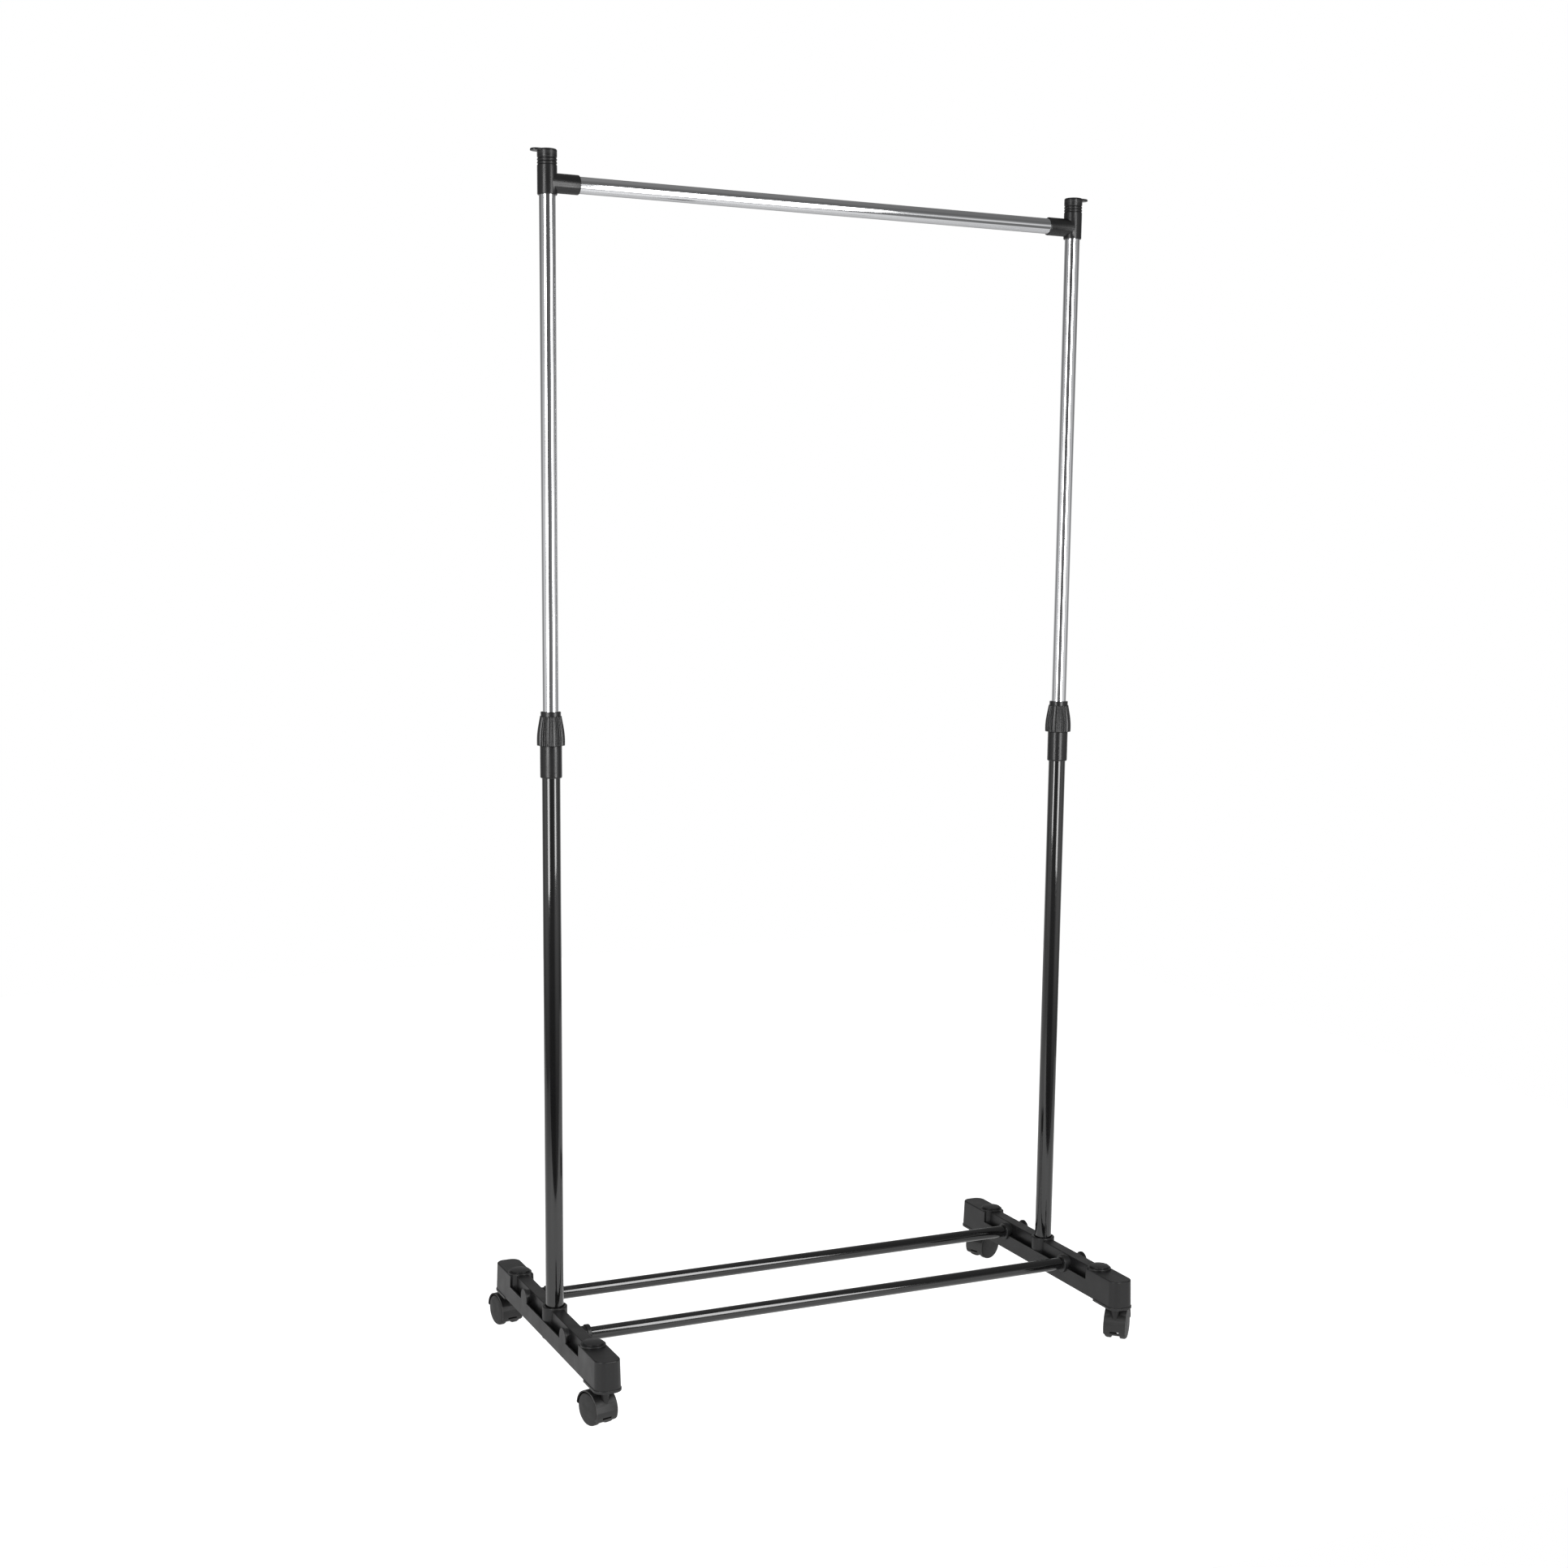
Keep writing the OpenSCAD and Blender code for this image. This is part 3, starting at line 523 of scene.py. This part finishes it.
# %% The sleeve
def lock_sleeve(side):
    """The sleeve, its neck with a thread, and the neck's slots between four fingers."""
    low, high = corners(f"{side}_lock_sleeve")
    top = low.z + 38
    sleeve = turned([(11.05, low.z, 0.3), (12.2, low.z, 0.3), (13, low.z + 1.2, 0.5),
                     (13, top, 0.4), (11.4, top), (11.4, high.z - 13), (10.5, high.z, 0.3),
                     (9.55, high.z, 0.2), (9.55, top - 2), (11.05, top - 2.6)], ring=True)
    turns = [Matrix.Rotation(math.radians(45 + 90 * i), 4, "Z") for i in range(4)]
    slots = [(CUT, moved(block((0, -1, high.z - 18), (20, 1, high.z + 5)), turn=t)) for t in turns]
    threads = [(UNITE, turned([(10.6, z), (11.4, z), (12.3, z + 0.3, 0.2), (12.3, z + 1.1, 0.2),
                               (11.4, z + 1.4), (10.6, z + 1.4)], ring=True))
               for z in (top + 3 + 4 * i for i in range(4))]
    return moved(worked(sleeve, *threads, *slots), x=post_x[side])


# %% The fluted nut
FLUTES, NUT_SET = 18, 12.5        # flutes, and how far the nut is turned, degrees


def lock_nut(side):
    """The nut, turned plain and then pushed in at its flutes."""
    low, high = corners(f"{side}_lock_nut")
    z0, z1 = low.z, high.z
    belly = (high.y - low.y) / 2
    nut = turned([(12.6, z0, 0.2), (belly - 0.2, z0, 0.2), (belly - 0.05, z0 + 2), (belly, z0 + 5),
                  (belly - 0.05, z0 + 8), (belly - 0.2, z0 + 11), (belly - 0.45, z0 + 14),
                  (belly - 0.8, z0 + 17), (belly - 1.25, z0 + 20), (belly - 1.75, z0 + 23),
                  (belly - 2.3, z0 + 26), (belly - 2.85, z0 + 29), (belly - 3.4, z0 + 32),
                  (belly - 3.8, z0 + 34, 0.6), (12.9, z0 + 34.6, 0.2), (12.0, z0 + 34.7, 0.2),
                  (12.0, z1, 0.5), (10.0, z1, 0.3), (10.0, z1 - 4), (11.1, z1 - 5),
                  (12.6, z0 + 22)], steps=FLUTES * 12, ring=True)
    long_edges = [e for e in nut.edges if e.calc_length() > 3.5 * MM]
    bmesh.ops.subdivide_edges(nut, edges=long_edges, cuts=2, use_grid_fill=True)
    for vert in nut.verts:
        angle = math.atan2(vert.co.y, vert.co.x) - math.radians(NUT_SET)
        radius = vert.co.xy.length / MM
        depth = flute_depth(radius, vert.co.z / MM - z0)
        hollow_share = abs(math.sin(angle * FLUTES / 2)) ** 2.2
        vert.co.xy *= (radius - depth * hollow_share) / radius
    return moved(nut, x=post_x[side])


def flute_depth(radius, height):
    """How deep the flutes are at a height above the nut's foot; none on the rim or inside."""
    if radius < 12.95 or height > 34.4:
        return 0.0
    return 1.4 * min(1.0, 0.7 + height / 8) * min(1.0, 34.4 - height)


for side in post_x:
    piece(f"{side}_grip_sleeve", lock_sleeve(side), gripped, "moulded_black", "base",
          f"{side}_lock_sleeve")
    piece(f"{side}_grip_nut", lock_nut(side), gripped, "moulded_black", f"{side}_nut",
          f"{side}_lock_nut", crisp=50)

# %% [markdown]
# ## Tees and end caps
# The tee joins a post to the hanging rail. Near its top are three rounded rings, and its socket
# for the rail meets the body in a sharp saddle line, as two straight cylinders do in a mould. The
# end cap is a thin rounded plate with a tongue that points outwards and stops a hanger. The tee is
# two turned shapes united; the cap is a disc and a longer rounded plate united.

# %% The tee
SOCKET_R = 11.0


def tee(side):
    """The tee about its post; the right one is the left one mirrored."""
    low, high = corners(f"{side}_tee")
    axis_z, inner = middle("hanging_rail").z, 9.55
    wide, reach = (high.y - low.y) / 2, high.x - low.x - (high.y - low.y) / 2
    outline = [(0, low.z), (wide - 0.5, low.z, 0.3), (wide, low.z + 0.9, 0.3),
               (wide, high.z - 14.6, 0.4)]
    for groove in (high.z - 13.7, high.z - 10.25, high.z - 6.8):
        outline += [(wide - 0.75, groove - 0.4, 0.3), (wide - 0.75, groove + 0.4, 0.3),
                    (wide, groove + 1.0, 0.5), (wide, groove + 2.45, 0.5)]
    outline += [(wide, high.z), (0, high.z)]
    socket = turned([(0, 0), (SOCKET_R, 0), (SOCKET_R, reach, 1.3), (inner - 0.3, reach, 0.3),
                     (inner - 0.3, reach - 2), (0, reach - 2)])
    rail_hole = turned([(0, 11), (inner, 11), (inner, 60), (0, 60)])
    bm = worked(turned(outline), (UNITE, moved(socket, z=axis_z, turn=ALONG_X)),
                bore(inner, low.z - 5, low.z + 29),                 # the post
                bore(9.25, high.z - 14, high.z + 5),                # the end cap's plug
                (CUT, moved(rail_hole, z=axis_z, turn=ALONG_X)))
    if side == "right":
        bmesh.ops.scale(bm, vec=(-1, 1, 1), verts=bm.verts)
        bmesh.ops.recalc_face_normals(bm, faces=bm.faces)
    return moved(bm, x=post_x[side])


# %% The end cap with its tongue
def end_cap(side):
    """The cap with its tongue to the right; the left one is mirrored."""
    low, high = corners(f"{side}_end_cap")
    wide, z0, z1 = (high.y - low.y) / 2, high.z - 3, high.z
    reach = high.x - low.x - wide
    plate = turned([(0, z0), (wide, z0, 0.3), (wide, z1, 1.5), (0, z1)], steps=96)
    tongue = block((-7, -7, z0 + 0.35), (reach, 7, z1 - 0.05))
    round_edges(tongue, 6.9, lambda e: runs(e, 2) and e.verts[0].co.x > 0, segments=12)
    round_edges(tongue, 1.2, lambda e: level(e, z1 - 0.05), segments=3)
    round_edges(tongue, 0.6, lambda e: level(e, z0 + 0.35), segments=2)
    plug = turned([(7.2, low.z, 0.3), (9.2, low.z, 0.6), (9.2, z0 + 1), (7.2, z0 + 1)], ring=True)
    bm = worked(plate, (UNITE, tongue), (UNITE, plug))
    if side == "left":
        bmesh.ops.scale(bm, vec=(-1, 1, 1), verts=bm.verts)
        bmesh.ops.recalc_face_normals(bm, faces=bm.faces)
    return moved(bm, x=post_x[side])


for side in post_x:
    piece(f"{side}_tee_moulding", tee(side), gripped, "moulded_black", "hanger_frame",
          f"{side}_tee")
    piece(f"{side}_tongued_cap", end_cap(side), gripped, "moulded_black", "hanger_frame",
          f"{side}_end_cap")

# %% [markdown]
# ## Casters
# A caster is a hood over two wheels, with a web between them and a boss for the stem. The hood is
# a bent panel: a flat rounded plate is cut into strips, bent round the axle and given a wall. A
# piece cut from a turned ring would do too, but its lower corners could not be rounded so easily.

# %% The hood's bent panel
AXLE_Z = joint_place["front_left_wheel_a_roll"].z
HOOD_OUT, HOOD_WALL, HOOD_HALF = 22.3, 1.7, 14.2
HOOD_FROM, HOOD_TO = -31.0, 180.0
WEB_HALF, STEM_BOSS_R, TRAIL = 2.5, 4.8, 16.5


def bent_panel():
    """A rounded plate drawn as (angle, width), then bent round the Y axis through the origin."""
    bm = bmesh.new()
    bmesh.ops.create_grid(bm, x_segments=1, y_segments=1, size=0.5)
    arc = math.radians(HOOD_TO - HOOD_FROM) * HOOD_OUT
    bmesh.ops.scale(bm, vec=(arc * MM, 2 * HOOD_HALF * MM, 1), verts=bm.verts)
    bmesh.ops.bevel(bm, geom=bm.verts[:], offset=3.2 * MM, offset_type="OFFSET", segments=6,
                    profile=0.5, affect="VERTICES", material=-1)
    strips = 84
    for i in range(1, strips):
        bmesh.ops.bisect_plane(bm, geom=bm.verts[:] + bm.edges[:] + bm.faces[:], dist=1e-7,
                               plane_co=((i / strips - 0.5) * arc * MM, 0, 0), plane_no=(1, 0, 0))
    for vert in bm.verts:
        share = vert.co.x / (arc * MM) + 0.5
        angle = math.radians(HOOD_FROM + share * (HOOD_TO - HOOD_FROM))
        bent = Vector((math.cos(angle), 0, math.sin(angle))) * HOOD_OUT * MM
        vert.co = bent + Vector((0, vert.co.y, 0))
    bmesh.ops.recalc_face_normals(bm, faces=bm.faces)
    if bm.faces[:][0].normal.dot(bm.faces[:][0].calc_center_median()) < 0:
        bmesh.ops.reverse_faces(bm, faces=bm.faces)
    bmesh.ops.solidify(bm, geom=bm.faces[:], thickness=HOOD_WALL * MM)
    bmesh.ops.recalc_face_normals(bm, faces=bm.faces)
    return round_edges(bm, 0.35, lambda e: sharp_turn(e, 60), segments=2)


# %% The web, the hub and the stem's boss
def hood():
    """The hood about its axle, with the stem over its trail on the positive X side."""
    sector = turned([(0, -WEB_HALF), (HOOD_OUT - 1, -WEB_HALF), (HOOD_OUT - 1, WEB_HALF),
                     (0, WEB_HALF)], steps=70, sweep=HOOD_TO - HOOD_FROM)
    start = Matrix.Rotation(math.radians(HOOD_FROM), 4, "Z")
    moved(sector, turn=Matrix.Rotation(math.radians(90), 4, "X") @ start)
    hub = moved(turned([(0, -WEB_HALF), (5.2, -WEB_HALF), (5.2, WEB_HALF), (0, WEB_HALF)], 48),
                turn=ALONG_Y)
    boss = turned([(0, 1.5), (STEM_BOSS_R, 1.5), (STEM_BOSS_R, 26.5), (0, 26.5)], 64)
    drum = turned([(0, -9), (HOOD_OUT - 0.3, -9), (HOOD_OUT - 0.3, 9), (0, 9)], 96)
    inside = worked(moved(boss, x=TRAIL), ("INTERSECT", moved(drum, turn=ALONG_Y)))
    cone = turned([(0, 1.5), (2.5, 1.5), (6, 26.5, 0.5), (0, 26.5)], 64)
    slot = moved(block((HOOD_OUT - 3, -6, -1.2), (HOOD_OUT + 2, 6, 1.2)),
                 turn=Matrix.Rotation(math.radians(19), 4, "Y"))
    stem_hole = turned([(0, 4.5), (3.05, 4.5), (3.05, 40), (0, 40)], 48)
    axle_hole = turned([(0, -5), (2.55, -5), (2.55, 5), (0, 5)], 48)
    return worked(bent_panel(), (UNITE, sector), (UNITE, hub), (UNITE, inside),
                  (UNITE, moved(cone, x=TRAIL)), (CUT, slot), (CUT, moved(stem_hole, x=TRAIL)),
                  (CUT, moved(axle_hole, turn=ALONG_Y)))


# %% The wheels
def wheel():
    """One wheel about Z, its domed face upwards; the hood's web lies at height 0."""
    face = 14.8
    return turned([(0, 12.0), (2.55, 12.0), (2.55, 3.0), (5.2, 3.0, 0.3), (5.2, face - 2.7, 0.5),
                   (17, face - 2.7, 0.8), (17, 5.8, 0.3), (19.2, 5.8, 0.3), (20, 6.6, 0.4),
                   (20, face - 2.6, 1.2), (18.6, face - 1.0, 0.6), (14, face - 0.3),
                   (9, face - 0.1), (0, face)], steps=96)


# %% Set the casters on their stems
for corner in FOOT_ENDS:
    stem = joint_place[f"{corner}_swivel"]
    axle = sum((joint_place[f"{corner}_wheel_{which}_roll"] for which in "ab"), Vector()) / 2
    heading = math.atan2(stem.y - axle.y, stem.x - axle.x)
    pose = Matrix.Rotation(heading, 4, "Z")
    piece(f"{corner}_caster_hood", moved(hood(), axle.x, axle.y, AXLE_Z, pose), wheel_nylon,
          "wheel_black", f"{corner}_caster", f"{corner}_hood")
    for which, lean in (("a", 90), ("b", -90)):
        turn = pose @ Matrix.Rotation(math.radians(lean), 4, "X")
        piece(f"{corner}_caster_wheel_{which}", moved(wheel(), axle.x, axle.y, AXLE_Z, turn),
              wheel_nylon, "wheel_black", f"{corner}_wheel_{which}", f"{corner}_wheel_{which}")
    print(corner, "caster heads", round(math.degrees(heading) % 360, 1), "degrees")

# %% [markdown]
# ## Pieces kept from the measured model
# Stems, grip rings, axles, screws, plugs and glides hide inside the mouldings. Their measured
# shapes are right, so they stay and only get their finish.

# %% Finish the hidden hardware
kept = {"stem": zinc, "grip_ring": zinc, "axle": zinc, "upright_screw": zinc, "tube_plug": moulded,
        "tube_glide": nylon}
for name, obj in frame["nodes"].items():
    for ending, coat in kept.items():
        if name.endswith(ending):
            obj.data.materials.clear()
            obj.data.materials.append(coat)

# %% [markdown]
# ## Studio
# Chrome has no colour of its own: what it shows is the room. Two tall strip lights stand left and
# right, just outside the frame, and draw the two white lines on every tube. The rest of the room
# is a world shader, a ring of grey tones round the horizon, because the same tones then light the
# plastic and show in the chrome. The camera itself sees plain white.

# %% Two strip lights
STRIP_WIDTH, STRIP_HEIGHT, STRIP_MIDDLE = 0.5, 1.26, 1.05       # metres
STRIP_WATTS = 13
for name, x, y in (("left_strip", -1.26, -0.69), ("right_strip", 0.41, -1.2)):
    light = bpy.data.lights.new(name, "AREA")
    light.shape, light.size, light.size_y = "RECTANGLE", STRIP_WIDTH, STRIP_HEIGHT
    light.energy = STRIP_WATTS
    lamp = bpy.data.objects.new(name, light)
    scene.collection.objects.link(lamp)
    lamp.location = (x, y, STRIP_MIDDLE)
    lamp.rotation_euler = (math.radians(90), 0, math.atan2(y, x) + math.radians(90))
    lamp.visible_camera = False
    print(name, "stands at", (x, y), "m and faces the rack")

# %% The ring of grey tones
CAMERA_YAW = 24.78
world = bpy.data.worlds.new("studio")
scene.world = world
world.use_nodes = True
sky, wires = world.node_tree.nodes, world.node_tree.links
sky.clear()


def maths(operation, *values):
    """A Math node; each value is a number or another node's output."""
    node = sky.new("ShaderNodeMath")
    node.operation = operation
    for socket, value in zip(node.inputs, values):
        if isinstance(value, (int, float)):
            socket.default_value = value
        else:
            wires.new(value, socket)
    return node.outputs[0]


def ladder(value, low, high, *stops):
    """A grey ramp over a value in degrees; the stops are (degrees, brightness)."""
    node = sky.new("ShaderNodeValToRGB")
    ramp = node.color_ramp
    for i, (degrees, grey) in enumerate(stops):
        place = (degrees - low) / (high - low)
        element = ramp.elements[i] if i < 2 else ramp.elements.new(place)
        element.position, element.color = place, (grey, grey, grey, 1)
    wires.new(maths("DIVIDE", maths("SUBTRACT", value, low), high - low), node.inputs[0])
    return node.outputs[0]


direction = sky.new("ShaderNodeTexCoord").outputs["Generated"]
split = sky.new("ShaderNodeSeparateXYZ")
wires.new(direction, split.inputs[0])
x, y, z = split.outputs
c, s = math.cos(math.radians(CAMERA_YAW)), math.sin(math.radians(CAMERA_YAW))
beside = maths("SUBTRACT", maths("MULTIPLY", x, c), maths("MULTIPLY", y, s))
towards = maths("MULTIPLY", maths("ADD", maths("MULTIPLY", x, s), maths("MULTIPLY", y, c)), -1.0)
bearing = maths("ABSOLUTE", maths("DEGREES", maths("ARCTAN2", beside, towards)))
height = maths("DEGREES", maths("ARCSINE", z))
ring = ladder(bearing, 0, 180, (0, 0.13), (24, 0.13), (34, 0.3), (48, 0.64), (72, 0.64), (86, 0.52),
              (100, 0.3), (112, 0.17), (125, 0.3), (145, 0.6), (160, 0.9), (180, 0.95))
dimming = ladder(height, -90, 90, (-14, 0.2), (-9, 1.0), (1, 1.0), (8, 0.55), (17, 0.22),
                 (36, 0.14), (60, 0.1), (90, 0.0))
above = ladder(height, -90, 90, (-46, 0.62), (-38, 0.05), (-6, 0.02), (30, 0.03), (45, 0.07),
               (60, 0.14), (70, 0.2), (90, 0.2))
room = maths("ADD", maths("MULTIPLY", ring, dimming), above)

# %% The camera sees plain white
glow = sky.new("ShaderNodeBackground")
wires.new(room, glow.inputs["Color"])
plain = sky.new("ShaderNodeBackground")
plain.inputs["Color"].default_value = (1, 1, 1, 1)
blend = sky.new("ShaderNodeMixShader")
wires.new(sky.new("ShaderNodeLightPath").outputs["Is Camera Ray"], blend.inputs[0])
wires.new(glow.outputs[0], blend.inputs[1])
wires.new(plain.outputs[0], blend.inputs[2])
wires.new(blend.outputs[0], sky.new("ShaderNodeOutputWorld").inputs[0])
scene.view_settings.view_transform = "Standard"

# %% The white floor sheet
bm = bmesh.new()
bmesh.ops.create_grid(bm, x_segments=4, y_segments=4, size=0.5)
bmesh.ops.scale(bm, vec=(3.6, 3.4, 1), verts=bm.verts)
floor_mesh = bpy.data.meshes.new("floor_sheet")
moved(bm, y=950).to_mesh(floor_mesh)      # most of the sheet lies behind the rack
bm.free()
floor = bpy.data.objects.new("floor_sheet", floor_mesh)
scene.collection.objects.link(floor)
sheet = finish("floor_paper", (0.78, 0.78, 0.78), (0.82, 0.82, 0.82), (0.8, 0.9), tone=2,
               Emission_Color=(1, 1, 1, 1))
tree = sheet.node_tree
seen = tree.nodes.new("ShaderNodeMath")   # full glow for the camera, 0.3 for the rack
seen.operation, seen.inputs[1].default_value = "MAXIMUM", 0.3
tree.links.new(tree.nodes.new("ShaderNodeLightPath").outputs["Is Camera Ray"], seen.inputs[0])
tree.links.new(seen.outputs[0], tree.nodes["Principled BSDF"].inputs["Emission Strength"])
floor_mesh.materials.append(sheet)

# %% [markdown]
# ## Camera
# The rack is seen from its left front at about chest height, slightly from above, with a lens a
# little longer than normal. The frame is shifted up a touch, as with a view camera, so that the
# posts stay nearly upright.

# %% Place the camera
lens = bpy.data.cameras.new("studio_camera")
lens.lens, lens.sensor_width, lens.shift_y = 48.74, 36.0, 0.0668
camera = bpy.data.objects.new("studio_camera", lens)
scene.collection.objects.link(camera)
yaw, pitch, roll = (math.radians(a) for a in (CAMERA_YAW, 8.714, 0.571))
ahead = Vector((math.sin(yaw) * math.cos(pitch), math.cos(yaw) * math.cos(pitch), -math.sin(pitch)))
camera.rotation_mode = "QUATERNION"
camera.rotation_quaternion = ahead.to_track_quat("-Z", "Y") @ Quaternion((0, 0, 1), roll)
camera.location = (-1.148, -2.3892, 0.9933)
scene.camera = camera

# %% Count the triangles
print("triangles in all:", sum(t for _, t in made))
